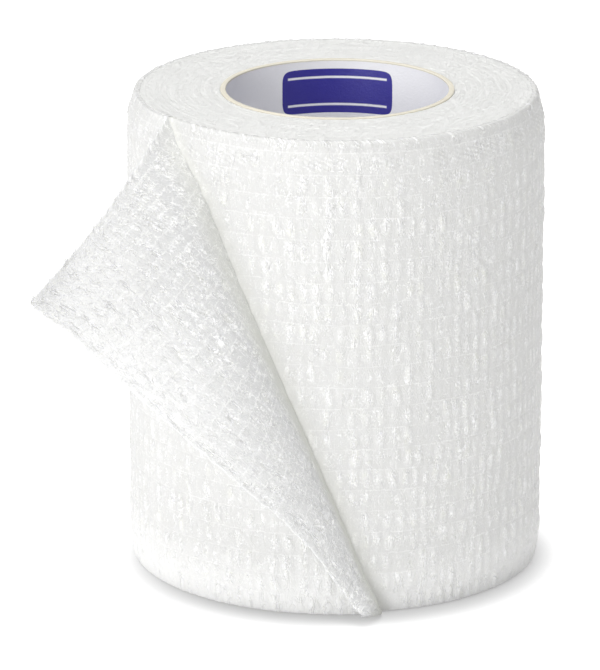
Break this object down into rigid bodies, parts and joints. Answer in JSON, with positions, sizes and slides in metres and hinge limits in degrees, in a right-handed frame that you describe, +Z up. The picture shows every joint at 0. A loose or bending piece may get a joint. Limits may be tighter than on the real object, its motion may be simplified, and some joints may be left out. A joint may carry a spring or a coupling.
{
  "type": "cohesive bandage roll",
  "caption": "Roll of white crepe cohesive bandage on a paper tube, standing on end, with the top corner of its last turn peeled off and folded back.",
  "frame": {"origin": "middle of the base of the box that holds the roll and its loose corner, on the surface that the roll stands on", "axes": "+Z up along the roll's axis, -Y towards the front, where the strip's cut end is, and -X towards the loose corner; the roll's own axis stands at x = 0.00761 m, y = 0.00622 m"},
  "size_m": [0.0838, 0.0814, 0.08],
  "materials": {
    "crepe": "white elastic crepe with a cohesive coating, puckered, slightly glinting threads",
    "paper": "wound paper tube, smooth white lining with a soft gloss, cream cut edge"
  },
  "bodies": {
    "root": {"bandage": "crepe", "core_tube": "paper"}
  },
  "joints": []
}
